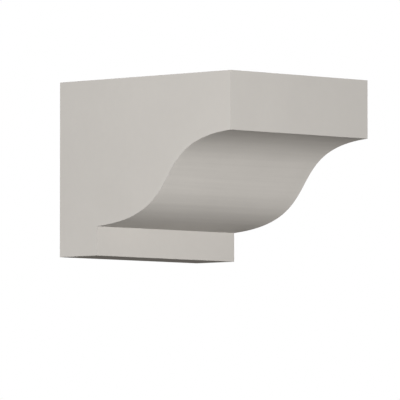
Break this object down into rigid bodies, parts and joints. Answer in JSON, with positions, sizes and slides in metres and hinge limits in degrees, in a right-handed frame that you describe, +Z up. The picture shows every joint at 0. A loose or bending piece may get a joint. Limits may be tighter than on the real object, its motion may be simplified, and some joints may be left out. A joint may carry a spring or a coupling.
{
  "type": "architectural bracket",
  "caption": "Plain ogee bracket that carries a shelf, beam or eave from a wall: square cap, double-curved underside and back block, moulded in one piece.",
  "frame": {"origin": "centre of the flat back face, which lies against the wall", "axes": "+Z up, +Y out of the back face into the wall, +X to the right seen from the front; the bracket projects towards -Y"},
  "size_m": [0.254, 0.3127, 0.2286],
  "materials": {
    "warm_grey_paint": "matt warm grey factory coat over a smooth moulded polymer body, with finely eased arrises"
  },
  "bodies": {
    "root": {"ogee_bracket": "warm_grey_paint"}
  },
  "joints": []
}
